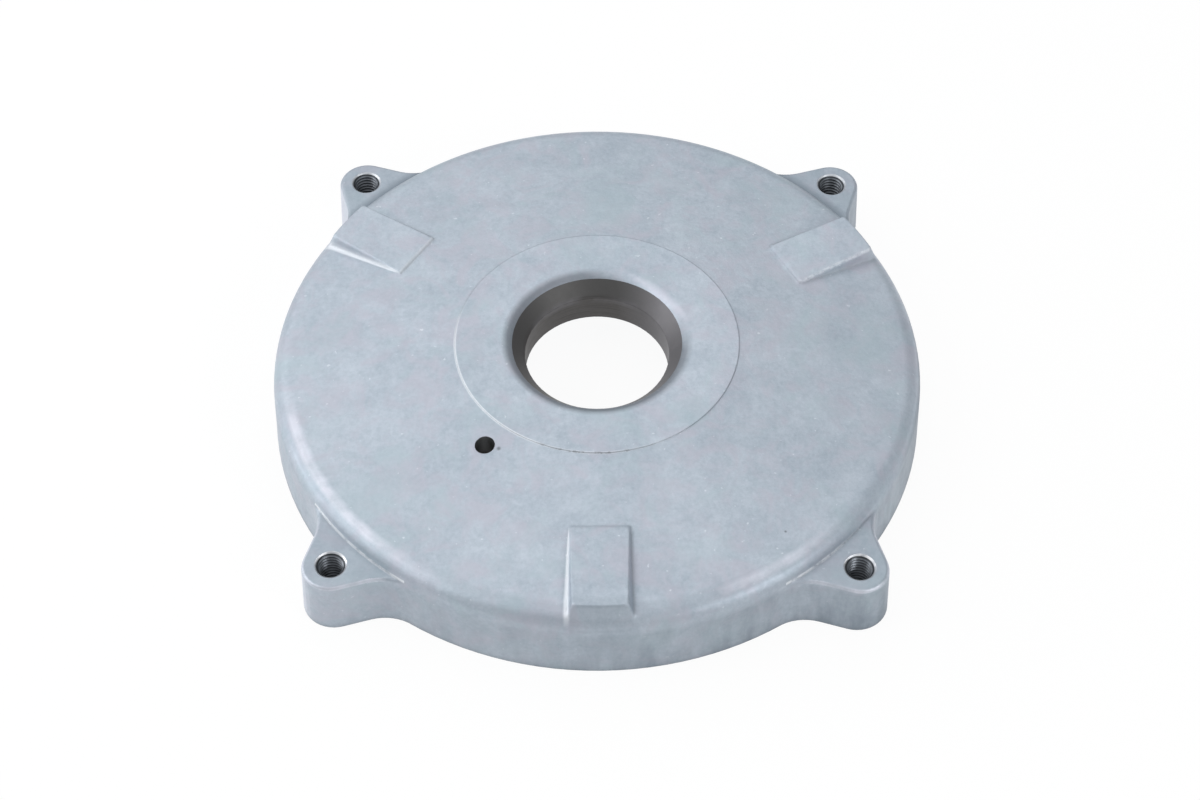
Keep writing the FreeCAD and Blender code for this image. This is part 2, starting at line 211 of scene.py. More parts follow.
class MachinedFinish(bpy.types.PropertyGroup):
    """Turned, drilled and tapped surfaces."""

    bore_colour: FloatVectorProperty(
        name="Bore colour", description="Colour of the turned bore",
        subtype="COLOR", size=3, min=0, max=1, default=(0.125, 0.12, 0.118))
    lead_in_colour: FloatVectorProperty(
        name="Lead-in colour", description="Colour of the lead-in cone above the bore",
        subtype="COLOR", size=3, min=0, max=1, default=(0.125, 0.123, 0.122))
    bore_top: FloatProperty(
        name="Bore top", description="Height of the lead-in's upper edge above the base",
        subtype="DISTANCE", unit="LENGTH", default=27.32 * MM)
    bore_mouth: FloatProperty(
        name="Lead-in radius", description="Radius of the lead-in's upper edge",
        subtype="DISTANCE", unit="LENGTH", default=25.42 * MM)
    lit_bore_colour: FloatVectorProperty(
        name="Lit bore colour", description="Colour of the bore's brighter right side",
        subtype="COLOR", size=3, min=0, max=1, default=(0.185, 0.182, 0.192))
    cut_colour: FloatVectorProperty(
        name="Cut colour", description="Colour of drilled and chamfered metal",
        subtype="COLOR", size=3, min=0, max=1, default=(0.50, 0.53, 0.57))
    drill_colour: FloatVectorProperty(
        name="Drilled colour", description="Colour of the small hole near its mouth",
        subtype="COLOR", size=3, min=0, max=1, default=(0.30, 0.31, 0.32))
    # Painted shade deep in the tapped holes, with painted highlights on the crests
    thread_colour: FloatVectorProperty(
        name="Thread colour", description="Colour of the shaded threads",
        subtype="COLOR", size=3, min=0, max=1, default=(0.035, 0.039, 0.045))
    crest_colour: FloatVectorProperty(
        name="Crest colour", description="Colour of the threads' rubbed crests",
        subtype="COLOR", size=3, min=0, max=1, default=(0.23, 0.25, 0.28))
    chamfer_width: FloatProperty(
        name="Chamfer width", description="Width of the chamfer around a tapped hole",
        subtype="DISTANCE", unit="LENGTH", default=0.65 * MM)
    cut_metal: FloatProperty(
        name="Cut metallic", description="How much of the cut metal shines as bare metal",
        subtype="FACTOR", min=0, max=1, default=0.9)
    thread_metal: FloatProperty(
        name="Thread metallic", description="How much of the threads shines as bare metal",
        subtype="FACTOR", min=0, max=1, default=0.7)
    thread_roughness: FloatProperty(
        name="Thread roughness", description="Roughness of the threads",
        subtype="FACTOR", min=0, max=1, default=0.36)


class ThreadSizes(bpy.types.PropertyGroup):
    """The screw thread in the ears."""

    pitch: FloatProperty(
        name="Pitch", description="Rise of the thread in one turn",
        subtype="DISTANCE", unit="LENGTH", default=1.25 * MM)
    depth: FloatProperty(
        name="Depth", description="Height of the thread's ridge",
        subtype="DISTANCE", unit="LENGTH", default=0.68 * MM)
    mouth: FloatProperty(
        name="Mouth", description="Where the thread starts, inside the ear's faces",
        subtype="DISTANCE", unit="LENGTH", default=0.45 * MM)
    steps: IntProperty(
        name="Steps per turn", description="Straight steps in one turn of the thread",
        min=12, default=48)


class StageSetup(bpy.types.PropertyGroup):
    """Floor, lamps and camera."""

    floor_colour: FloatVectorProperty(
        name="Floor colour", description="Colour of the floor",
        subtype="COLOR", size=3, min=0, max=1, default=(0.95, 0.95, 0.95))
    floor_glow: FloatProperty(
        name="Floor whiteness", description="How far the floor shows plain white to the camera",
        subtype="FACTOR", min=0, max=1, default=0.93)
    sky_colour: FloatVectorProperty(
        name="Sky colour", description="Colour of the even light from all round",
        subtype="COLOR", size=3, min=0, max=1, default=(0.96, 0.98, 1.0))
    sky_strength: FloatProperty(
        name="Sky strength", description="Strength of the even light from all round",
        min=0, default=0.45)
    lens: FloatProperty(
        name="Focal length", description="Focal length of the camera in millimetres",
        subtype="DISTANCE_CAMERA", unit="CAMERA", min=1, default=71.74)
    distance: FloatProperty(
        name="Distance", description="Distance of the camera from the cover's base centre",
        subtype="DISTANCE", unit="LENGTH", default=734.67 * MM)
    azimuth: FloatProperty(
        name="Azimuth", description="Turn of the camera round the cover",
        subtype="ANGLE", unit="ROTATION", default=math.radians(0.417))
    elevation: FloatProperty(
        name="Elevation", description="Camera's angle above the floor",
        subtype="ANGLE", unit="ROTATION", default=math.radians(51.159))
    roll: FloatProperty(
        name="Roll", description="Tilt of the camera about its own axis",
        subtype="ANGLE", unit="ROTATION", default=math.radians(-0.066))
    aim_right: FloatProperty(
        name="Aim right", description="How far right of the base centre the camera aims",
        subtype="DISTANCE", unit="LENGTH", default=0.855 * MM)
    aim_up: FloatProperty(
        name="Aim up", description="How far above the base centre the camera aims",
        subtype="DISTANCE", unit="LENGTH", default=-0.087 * MM)


class MotorCoverSettings(bpy.types.PropertyGroup):
    """Everything a user may change."""

    cast: PointerProperty(type=CastFinish)
    machined: PointerProperty(type=MachinedFinish)
    thread: PointerProperty(type=ThreadSizes)
    stage: PointerProperty(type=StageSetup)


class Shader:
    """A material's or a world's node tree, built a node at a time."""

    def __init__(self, owner):
        owner.use_nodes = True
        self.tree = owner.node_tree
        self.tree.nodes.clear()

    def node(self, kind, **settings):
        """A new node with its settings."""
        made = self.tree.nodes.new(kind)
        for name, setting in settings.items():
            setattr(made, name, setting)
        return made

    def feed(self, socket, source):
        """Link a socket to another one, or set it to a plain value."""
        if isinstance(source, bpy.types.NodeSocket):
            self.tree.links.new(source, socket)
        else:
            socket.default_value = source

    def math(self, operation, *sources, clamp=False):
        """The result of an operation on sockets and numbers."""
        made = self.node("ShaderNodeMath", operation=operation, use_clamp=clamp)
        for socket, source in zip(made.inputs, sources):
            self.feed(socket, source)
        return made.outputs[0]

    def product(self, *factors):
        """Product of the factors, each a socket or a number."""
        result = factors[0]
        for factor in factors[1:]:
            result = self.math("MULTIPLY", result, factor)
        return result

    def total(self, *sources):
        """Sum of the sources, stopped at 1."""
        result = sources[0]
        for source in sources[1:]:
            result = self.math("ADD", result, source, clamp=True)
        return result

    def strongest(self, *masks):
        """The largest of the masks, point by point."""
        result = masks[0]
        for mask in masks[1:]:
            result = self.math("MAXIMUM", result, mask)
        return result

    def above(self, source, level):
        """1 where the source is over the level, else 0."""
        return self.math("GREATER_THAN", source, level)

    def below(self, source, level):
        """1 where the source is under the level, else 0."""
        return self.math("LESS_THAN", source, level)

    def spread(self, source, low, high, to_low=0.0, to_high=1.0):
        """Stretch the range low to high onto another range, and stop at its ends."""
        made = self.node("ShaderNodeMapRange")
        made.inputs["From Min"].default_value = low
        made.inputs["From Max"].default_value = high
        made.inputs["To Min"].default_value = to_low
        made.inputs["To Max"].default_value = to_high
        self.feed(made.inputs["Value"], source)
        return made.outputs[0]

    def fade(self, source, full, gone):
        """1 up to full, then less and less until gone."""
        return self.spread(source, full, gone, 1, 0)

    def band(self, source, rise, full, fall, end):
        """0 up to rise, 1 from full to fall, and 0 again beyond end."""
        return self.product(self.spread(source, rise, full), self.fade(source, fall, end))

    def near(self, source, target, full, gone):
        """1 where the source is within full of the target, then less until gone."""
        off = self.math("ABSOLUTE", self.math("SUBTRACT", source, target))
        return self.fade(off, full, gone)

    def mix(self, factor, first, second):
        """Blend two colours; each may be a socket or a plain colour."""
        made = self.node("ShaderNodeMix", data_type="RGBA")
        self.feed(made.inputs["Factor"], factor)
        for name, source in (("A", first), ("B", second)):
            socket = next(s for s in made.inputs if s.name == name and s.type == "RGBA")
            if not isinstance(source, bpy.types.NodeSocket):
                source = (*source, 1)
            self.feed(socket, source)
        return next(s for s in made.outputs if s.type == "RGBA")

    def noise(self, coordinates, size, detail=2.0, roughness=0.5, distortion=0.0):
        """Noise whose largest forms are about this size, in metres."""
        made = self.node("ShaderNodeTexNoise")
        self.feed(made.inputs["Vector"], coordinates)
        made.inputs["Scale"].default_value = 1 / size
        made.inputs["Detail"].default_value = detail
        made.inputs["Roughness"].default_value = roughness
        made.inputs["Distortion"].default_value = distortion
        return made.outputs[0]

    def split(self, vector):
        """The x, y and z sockets of a vector socket."""
        parts = self.node("ShaderNodeSeparateXYZ")
        self.feed(parts.inputs[0], vector)
        return parts.outputs

    def distance(self, x, y, centre_x, centre_y):
        """Level distance from an upright axis."""
        across = self.math("SUBTRACT", x, centre_x)
        along = self.math("SUBTRACT", y, centre_y)
        squares = self.product(across, across), self.product(along, along)
        return self.math("SQRT", self.math("ADD", *squares))


class CoverShader(Shader):
    """A shader that knows where each point of the cover lies."""

    def __init__(self, material):
        super().__init__(material)
        self.place = self.node("ShaderNodeTexCoord").outputs["Object"]
        self.x, self.y, self.z = self.split(self.place)

    @cached_property
    def from_shaft(self):
        """Level distance from the shaft's axis."""
        return self.distance(self.x, self.y, 0, 0)

    @cached_property
    def from_ear(self):
        """Level distance from the nearest ear hole's axis."""
        return self.distance(self.math("ABSOLUTE", self.x), self.math("ABSOLUTE", self.y),
                             EAR_OFFSET, EAR_OFFSET)

    def direction(self, angle):
        """A point's distance from the shaft along a direction, and across it."""
        cosine, sine = math.cos(angle), math.sin(angle)
        along = self.math("ADD", self.product(self.x, cosine), self.product(self.y, sine))
        across = self.math("SUBTRACT", self.product(self.y, cosine), self.product(self.x, sine))
        return along, across

    def mottle(self, size, low, high, to_low=0.0, to_high=1.0, **settings):
        """Noise over the cover, its range low to high stretched onto another range."""
        return self.spread(self.noise(self.place, size, **settings), low, high, to_low, to_high)

    def stretched(self, x, y, z):
        """The place, scaled along each axis; a small scale draws noise out."""
        made = self.node("ShaderNodeMapping")
        made.inputs["Scale"].default_value = (x, y, z)
        self.feed(made.inputs["Vector"], self.place)
        return made.outputs[0]


def new_material(name):
    """A material whose principled shader is linked to its output."""
    material = bpy.data.materials.new(name)
    shader = CoverShader(material)
    surface = shader.node("ShaderNodeBsdfPrincipled")
    output = shader.node("ShaderNodeOutputMaterial")
    shader.feed(output.inputs["Surface"], surface.outputs[0])
    return material, shader, surface


def darker(colour, share):
    """A plain colour, scaled down to a share of itself."""
    return tuple(share * part for part in colour)


def skin_colour(shader, cast):
    """Mottled skin, and the mask of its darker stains."""
    cloud, grain = cast.cloud_size, cast.grain_size
    clouds = shader.mottle(cloud, 0.36, 0.64, detail=4, roughness=0.6, distortion=0.6)
    patches = shader.mottle(cloud / 5, 0.34, 0.68, detail=5, roughness=0.65, distortion=0.5)
    specks = shader.mottle(grain * 1.4, 0.38, 0.64, detail=4, roughness=0.75)
    stain = shader.total(shader.product(clouds, 0.30), shader.product(patches, 0.30),
                         shader.product(specks, 0.28))
    colour = shader.mix(stain, cast.colour, cast.dark_colour)
    warm = shader.mottle(cloud / 2, 0.46, 0.64, detail=4, roughness=0.6, distortion=1.0)
    colour = shader.mix(shader.product(warm, 0.6), colour, cast.warm_colour)
    cool = shader.mottle(cloud * 0.8, 0.50, 0.66, detail=4, roughness=0.6, distortion=0.8)
    colour = shader.mix(shader.product(cool, 0.45), colour, cast.cool_colour)
    pricks = shader.mottle(grain * 1.6, 0.74, 0.80, detail=1)
    return shader.mix(shader.product(pricks, 0.35), colour, cast.bright_colour), stain


def marks(shader, cast):
    """A small dimple and a dark speck on the face; the dimple is drawn as a dark spot, painted
    shade in place of a hollow.
    """
    from_dimple = shader.distance(shader.x, shader.y, *DIMPLE)
    from_speck = shader.distance(shader.x, shader.y, *SPECK)
    spots = shader.strongest(shader.fade(from_dimple, 0.25 * MM, 0.85 * MM),
                             shader.fade(from_speck, 0.15 * MM, 0.50 * MM))
    return shader.product(spots, cast.mark_darkness)


def land_pits(shader, cast):
    """Small dark pits along the land's near edge, drawn as dark spots: painted shade in place of
    hollows.
    """
    line = shader.near(shader.from_shaft, LAND_EDGE, 0.2 * MM, 0.5 * MM)
    pits = shader.mottle(1.6 * MM, 0.55, 0.62)
    middle = shader.band(shader.x, -24 * MM, -12 * MM, 8 * MM, 20 * MM)
    near_side = shader.below(shader.y, 0)
    on_top = shader.above(shader.z, LAND_TOP - 1 * MM)
    return shader.product(line, pits, middle, near_side, on_top, 0.7 * cast.mark_darkness)


def ring(shader, radius, height, width, tolerance):
    """A thin line round the shaft's axis, at a radius and a height."""
    return shader.product(shader.near(shader.from_shaft, radius, 0.4 * width, width),
                          shader.near(shader.z, height, 0.5 * tolerance, tolerance))


def highlight_rings(shader, cast):
    """Painted highlights in thin lines: where the front ears meet the wall, and along the land's
    near edge.
    """
    broken = shader.mottle(3 * MM, 0.32, 0.50, detail=3, roughness=0.7)
    at_ear = shader.product(
        ring(shader, EAR_CREASE, EAR_TOP + 0.35 * MM, 0.40 * MM, 0.55 * MM), broken,
        shader.below(shader.from_ear, 22 * MM), shader.fade(shader.y, -12 * MM, 6 * MM),
        shader.fade(shader.x, 66 * MM, 76 * MM), cast.ear_crease_highlight)
    at_land = shader.product(
        ring(shader, LAND_EDGE, LAND_TOP, 0.5 * MM, 0.8 * MM),
        shader.fade(shader.x, 5 * MM, 25 * MM), shader.fade(shader.y, 0, 15 * MM),
        shader.spread(shader.x, -24 * MM, -12 * MM, 1, 0.55), cast.land_edge_highlight)
    return shader.strongest(at_ear, at_land)


def pad_inner_ends(shader):
    """The pads' inner ends, where they run out in the face."""
    return shader.product(shader.above(shader.from_shaft, 55 * MM),
                          shader.fade(shader.from_shaft, 67.5 * MM, 69.5 * MM))


def lit_pad_feet(shader):
    """Painted highlights in the hollows along the left sides of the front pad and the left pad,
    which face the light.
    """
    lit_feet = []
    for angle, side in ((FRONT_PAD, -1), (LEFT_PAD, 1)):
        along, across = shader.direction(angle)
        middle = shader.spread(along, *PAD_ENDS, 8.6 * MM, 9.5 * MM)
        half_width = shader.spread(along, *PAD_ENDS, 0.35 * MM, 1.1 * MM)
        off = shader.math("ABSOLUTE",
                          shader.math("SUBTRACT", shader.product(across, side), middle))
        hollow = shader.math("SUBTRACT", 1, shader.math("DIVIDE", off, half_width), clamp=True)
        hollow = shader.product(hollow, shader.spread(along, 66 * MM, 70 * MM))
        lit_feet.append(shader.math("MULTIPLY", hollow, 1.6, clamp=True))
    return shader.product(shader.strongest(*lit_feet),
                          shader.below(shader.z, PAD_TOP - 0.25 * MM),
                          shader.spread(shader.z, EAR_TOP + 1 * MM, EAR_TOP + 3.5 * MM))


def shade_on_front_pad_end(shader):
    """Painted shade on the front pad's end face, weaker in a level band near its foot."""
    along, across = shader.direction(FRONT_PAD)
    foot = shader.band(shader.z, 18.3 * MM, 19 * MM, 20.3 * MM, 21.3 * MM)
    return shader.product(shader.near(across, 0, 8.2 * MM, 9.4 * MM),
                          shader.above(along, PAD_ENDS[1]),
                          shader.below(shader.z, PAD_TOP - 0.25 * MM),
                          shader.spread(shader.z, 15 * MM, 18 * MM),
                          shader.spread(foot, 0, 1, 1, 0.3))


def lit_inner_end_of_left_pad(shader):
    """A strip along the left pad's inner end, where its edge runs out in the face: painted light
    that hides the shade on the small step there.
    """
    along, across = shader.direction(LEFT_PAD)
    return shader.product(shader.near(along, PAD_ENDS[0] + 0.05 * MM, 0.25 * MM, 0.8 * MM),
                          shader.near(across, 0, 8.2 * MM, 9.2 * MM),
                          shader.above(shader.z, 24 * MM))


def lit_edge_of_right_pad(shader):
    """A broken painted highlight along the right pad's near top edge."""
    along, across = shader.direction(RIGHT_PAD)
    edge = shader.spread(along, *PAD_ENDS, -8.4 * MM, -7.7 * MM)
    return shader.product(shader.near(across, edge, 0.15 * MM, 0.55 * MM),
                          shader.band(along, 66 * MM, 68 * MM, 93 * MM, 94 * MM),
                          shader.mottle(1.5 * MM, 0.35, 0.60, detail=3, roughness=0.7),
                          shader.above(shader.z, 25 * MM))


def surface_lean(shader):
    """1 where the surface leans between level and upright, and 1 where it faces left."""
    normal = shader.node("ShaderNodeNewGeometry").outputs["True Normal"]
    across, _, up = shader.split(normal)
    return shader.band(up, 0.10, 0.35, 0.85, 0.97), shader.fade(across, -0.98, -0.70)


def highlit(shader, cast):
    """Painted highlights: the rim at the front, the ears' top edges and their sides that face
    left, towards the light.
    """
    patches = shader.mottle(7 * MM, 0.34, 0.60, 0.35, 1.1, detail=4, roughness=0.65)
    left = shader.fade(shader.x, -65 * MM, -40 * MM)
    right = shader.product(shader.band(shader.x, 30 * MM, 44 * MM, 56 * MM, 70 * MM), 0.75)
    rim = shader.product(
        shader.band(shader.from_shaft, 90.5 * MM, 92 * MM, 93.4 * MM, 94.4 * MM),
        shader.math("ADD", left, right), shader.spread(shader.y, -12 * MM, -30 * MM),
        patches, cast.rim_highlight)

    leaning, to_left = surface_lean(shader)
    edge = shader.product(
        leaning, shader.spread(shader.z, EAR_TOP - 1.5 * MM, EAR_TOP - 1.1 * MM),
        shader.above(shader.from_ear, 6 * MM),
        shader.spread(shader.y, -10 * MM, 10 * MM, 1, 0.2), patches, cast.ear_edge_highlight)
    side = shader.product(to_left, shader.below(shader.z, EAR_TOP - 0.5 * MM), 0.45)
    ears = shader.product(shader.strongest(edge, side),
                          shader.fade(shader.from_ear, 12 * MM, 22 * MM),
                          shader.spread(shader.from_shaft, 98 * MM, 99.5 * MM))
    return shader.strongest(rim, ears)


def ear_tops_and_crease_shade(shader, cast):
    """The ears' darker tops, and painted shade in the creases where they meet the cover and on
    the back ears' tops beside the wall.
    """
    by_ear = shader.fade(shader.from_ear, 17 * MM, 25 * MM)
    tops = shader.product(by_ear, shader.near(shader.z, EAR_TOP, 0.3 * MM, 1.0 * MM))
    over_crease = shader.product(
        shader.band(shader.z, 19.1 * MM, 19.6 * MM, 20.8 * MM, 21.6 * MM),
        shader.above(shader.from_shaft, 93 * MM), by_ear, 0.30)
    back_crease = shader.product(
        tops, shader.fade(shader.from_shaft, 97.8 * MM, 102 * MM), shader.above(shader.y, 0))
    right_crease = shader.product(
        shader.spread(shader.from_shaft, 93.5 * MM, 95.5 * MM),
        shader.spread(shader.z, 20.5 * MM, 23.5 * MM, 0.3, 0),
        shader.band(shader.x, 40 * MM, 60 * MM, 71 * MM, 78 * MM),
        shader.spread(shader.y, -35 * MM, -50 * MM), shader.above(shader.z, EAR_TOP))
    return shader.strongest(shader.product(tops, cast.ear_darkness), over_crease,
                            back_crease, right_crease)


def rim_shade(shader):
    """Painted shade on stretches of the rim at the left and the front, and on the cover's right
    end, away from the light.
    """
    to_left_rim, _ = shader.direction(LEFT_RIM)
    left = shader.product(
        shader.band(shader.from_shaft, 94.2 * MM, 95 * MM, 95.8 * MM, 96.5 * MM),
        shader.spread(to_left_rim, 87 * MM, 93 * MM, 0, 0.35))
    front = shader.product(
        shader.band(shader.from_shaft, 90 * MM, 91.5 * MM, 95 * MM, 95.8 * MM),
        shader.near(shader.x, 0, 35 * MM, 50 * MM), shader.below(shader.y, -60 * MM), 0.2)
    right = shader.product(shader.spread(shader.x, 84 * MM, 95 * MM, 0, 0.85),
                           shader.spread(shader.from_shaft, 96 * MM, 96.8 * MM))
    return shader.strongest(left, front, right)


def wall_shade(shader, cast):
    """Painted shade on the streaky round wall, deeper to the right, to the front and at its base.
    """
    on_wall = shader.product(shader.fade(shader.z, 15.5 * MM, 19.5 * MM),
                             shader.above(shader.from_shaft, 94.5 * MM))
    to_right = shader.spread(shader.x, -90 * MM, 90 * MM, 0.1, 1.8)
    to_front = shader.spread(shader.y, -60 * MM, -95 * MM, 1, 1.35)
    to_base = shader.spread(shader.z, 0, 8 * MM, 1.4, 1)
    streaks = shader.spread(shader.noise(shader.stretched(1, 1, 0.3), 6 * MM, 4, 0.6),
                            0.35, 0.65, 0.6, 1.5)
    return shader.product(on_wall, to_right, to_front, to_base, streaks, cast.wall_darkness)


def shading(shader, unshaded, cast):
    """Painted shade in the creases, from ambient occlusion, apart from the places kept free of
    it.
    """
    hollow = shader.node("ShaderNodeAmbientOcclusion", samples=6)
    hollow.inputs["Distance"].default_value = cast.crease_reach
    open_share = hollow.outputs["AO"]
    return shader.product(shader.spread(open_share, 0.35, 0.92, cast.crease_darkness, 0),
                          shader.math("SUBTRACT", 1, unshaded))


def cast_colour(shader, cast):
    """The skin's colour with its marks, painted shade and painted highlights, and its stains."""
    bright = cast.bright_colour
    colour, stain = skin_colour(shader, cast)
    colour = shader.mix(marks(shader, cast), colour, SPECK_COLOUR)
    # Painted highlights along the front ears' crease and the land's edge
    colour = shader.mix(highlight_rings(shader, cast), colour, bright)
    colour = shader.mix(land_pits(shader, cast), colour, PIT_COLOUR)

    # Painted shade on the front pad's end face
    end_shade = shade_on_front_pad_end(shader)
    # Painted shade on the wall, the rims, the ear creases and the front pad's end, with the ears'
    # darker tops
    shade_and_dark_tops = shader.strongest(ear_tops_and_crease_shade(shader, cast), rim_shade(shader), wall_shade(shader, cast),
                            shader.product(end_shade, 1.1 * cast.wall_darkness))
    colour = shader.mix(shade_and_dark_tops, colour, darker(cast.dark_colour, 0.7))

    lit_feet = lit_pad_feet(shader)
    # Places kept free of the painted crease shade
    unshaded = shader.strongest(lit_feet, shader.product(pad_inner_ends(shader), 0.95), end_shade)
    # Painted shade in the creases
    colour = shader.mix(shading(shader, unshaded, cast), colour, darker(cast.dark_colour, 0.35))
    # Painted highlight in the hollows beside the front pad and the left pad
    colour = shader.mix(shader.product(lit_feet, cast.foot_highlight), colour, bright)
    # Painted highlights on the rim and the ears
    colour = shader.mix(highlit(shader, cast), colour, HIGHLIGHT_COLOUR)
    # Painted light on the left pad's inner end, and a painted highlight on the right pad's edge
    pad_highlights = shader.strongest(shader.product(lit_inner_end_of_left_pad(shader), 0.32),
                                 shader.product(lit_edge_of_right_pad(shader), 0.5))
    return shader.mix(pad_highlights, colour, bright), stain


def mouth_colour(shader, colour, cast, machined):
    """The bore's rounded mouth, dark in the shade and pale where the light falls in."""
    on_mouth = shader.product(
        shader.fade(shader.from_shaft, MOUTH_EDGE - 1.6 * MM, MOUTH_EDGE + 0.4 * MM),
        shader.above(shader.z, machined.bore_top))
    to_back_right = shader.math("ADD", shader.x, shader.y)
    shade = shader.product(on_mouth, shader.spread(to_back_right, 22 * MM, 37 * MM, 1, -0.2),
                           cast.mouth_darkness)
    colour = shader.mix(shader.strongest(shade, 0), colour, SHADED_MOUTH_COLOUR)
    light = shader.strongest(shader.product(shade, -3), 0)
    return shader.mix(light, colour, LIT_MOUTH_COLOUR)


def bore_colour(shader, machined):
    """Turned metal: the straight bore with its tool marks, the lead-in and a faint glint."""
    tool_marks = shader.noise(shader.stretched(0.02, 0.02, 1), 0.3 * MM, 3, 0.7)
    colour = shader.mix(shader.spread(tool_marks, 0.3, 0.7), machined.bore_colour,
                        darker(machined.bore_colour, 0.7))
    on_lead_in = shader.spread(shader.from_shaft, 21.8 * MM, 22.6 * MM)
    colour = shader.mix(on_lead_in, colour, machined.lead_in_colour)
    to_right = shader.spread(shader.x, 6 * MM, 19 * MM)
    colour = shader.mix(to_right, colour, machined.lit_bore_colour)
    glint = shader.product(shader.band(shader.z, 20.3 * MM, 21.8 * MM, 22.6 * MM, 23.8 * MM),
                           shader.mottle(9 * MM, 0.42, 0.62), 0.6)
    return shader.mix(glint, colour, machined.lit_bore_colour)


def ear_hole_colour(shader, machined):
    """The tapped holes: walls in painted shade, lighter near the top, and chamfers that shine on
    their far sides.
    """
    near_top = shader.spread(shader.z, EAR_TOP - 1.6 * MM, EAR_TOP - 0.6 * MM)
    wall = shader.mix(near_top, machined.thread_colour, darker(machined.crest_colour, 0.6))
    axis = shader.product(shader.math("SIGN", shader.y), EAR_OFFSET)
    beyond_axis = shader.math("SUBTRACT", shader.y, axis)
    shine = shader.product(shader.mottle(3 * MM, 0.40, 0.58, 0.3, 1),
                           shader.spread(shader.y, -10 * MM, 10 * MM, 1, 0.35),
                           shader.spread(beyond_axis, -0.5 * MM, 2 * MM))
    chamfer = shader.mix(shine, machined.cut_colour, SHINE_COLOUR)
    on_chamfer = shader.spread(shader.from_ear, EAR_HOLE + 0.02 * MM, EAR_HOLE + 0.15 * MM)
    return shader.mix(on_chamfer, wall, chamfer)


def small_hole(shader, machined):
    """The mask and the colour of the small drilled hole, in painted shade that turns near black
    below its mouth.
    """
    x, y, _ = SMALL_HOLE["pos_m"]
    radius = (SMALL_HOLE["dims"]["r_mm"] + 0.02) * MM
    inside = shader.below(shader.distance(shader.x, shader.y, x, y), radius)
    near_mouth = shader.spread(shader.z, 20 * MM, 27 * MM)
    return inside, shader.mix(near_mouth, HOLE_SHADE_COLOUR, machined.drill_colour)


def skin_relief(shader, cut, cast):
    """Normals with the mould's grain where nothing is cut, and with softened edges."""
    foot = shader.product(shader.above(shader.from_shaft, 60 * MM),
                          shader.below(shader.z, PAD_TOP - 0.15 * MM),
                          shader.above(shader.z, EAR_TOP + 0.05 * MM))
    foot = shader.strongest(foot, pad_inner_ends(shader))
    bevel = shader.node("ShaderNodeBevel", samples=8)
    shader.feed(bevel.inputs["Radius"],
                shader.spread(foot, 0, 1, cast.edge_softness, cast.foot_softness))
    grain = shader.noise(shader.place, cast.grain_size, 4, 0.7)
    waves = shader.noise(shader.place, cast.cloud_size / 4, 3, 0.5)
    height = shader.math("ADD", grain, shader.product(waves, 2.2))
    bump = shader.node("ShaderNodeBump")
    bump.inputs["Distance"].default_value = cast.grain_depth
    bump.inputs["Strength"].default_value = 1
    shader.feed(bump.inputs["Height"],
                shader.product(height, shader.math("SUBTRACT", 1, cut)))
    shader.feed(bump.inputs["Normal"], bevel.outputs[0])
    return bump.outputs[0]


def cover_skin(cast, machined):
    """Cast skin all over, with the bore, the holes and the chamfers in cut metal."""
    material, shader, surface = new_material("cast_skin")
    colour, stain = cast_colour(shader, cast)
    colour = mouth_colour(shader, colour, cast, machined)
    in_bore = shader.product(shader.below(shader.from_shaft, machined.bore_mouth),
                             shader.above(shader.z, HUB_BASE),
                             shader.below(shader.z, machined.bore_top))
    colour = shader.mix(in_bore, colour, bore_colour(shader, machined))
    in_ear = shader.below(shader.from_ear, EAR_HOLE + machined.chamfer_width)
    colour = shader.mix(in_ear, colour, ear_hole_colour(shader, machined))
    in_hole, drilled = small_hole(shader, machined)
    colour = shader.mix(in_hole, colour, drilled)
    shader.feed(surface.inputs["Base Color"], colour)

    cut = shader.total(in_bore, in_ear, in_hole)
    shader.feed(surface.inputs["Metallic"],
                shader.spread(cut, 0, 1, cast.metal, machined.cut_metal))
    skin_roughness = shader.spread(stain, 0, 1, cast.roughness - 0.06, cast.roughness + 0.08)
    roughness = shader.total(skin_roughness, shader.product(in_bore, 0.16),
                             shader.product(in_ear, 0.10))
    shader.feed(surface.inputs["Roughness"],
                shader.math("SUBTRACT", roughness, shader.product(cut, 0.10)))
    shader.feed(surface.inputs["Normal"], skin_relief(shader, cut, cast))
    return material


def thread_steel(machined):
    """Painted shade darkens the tapped threads; their crests are lighter in blotches, a painted
    highlight.
    """
    material, shader, surface = new_material("cut_thread")
    blotches = shader.mottle(2 * MM, 0.35, 0.65, 0.6, 1, detail=3)
    crest = shader.fade(shader.from_ear, EAR_HOLE - 0.60 * MM, EAR_HOLE - 0.25 * MM)
    shade = shader.mix(shader.product(crest, blotches), machined.thread_colour,
                       machined.crest_colour)
    shader.feed(surface.inputs["Base Color"], shade)
    surface.inputs["Metallic"].default_value = machined.thread_metal
    surface.inputs["Roughness"].default_value = machined.thread_roughness
    return material


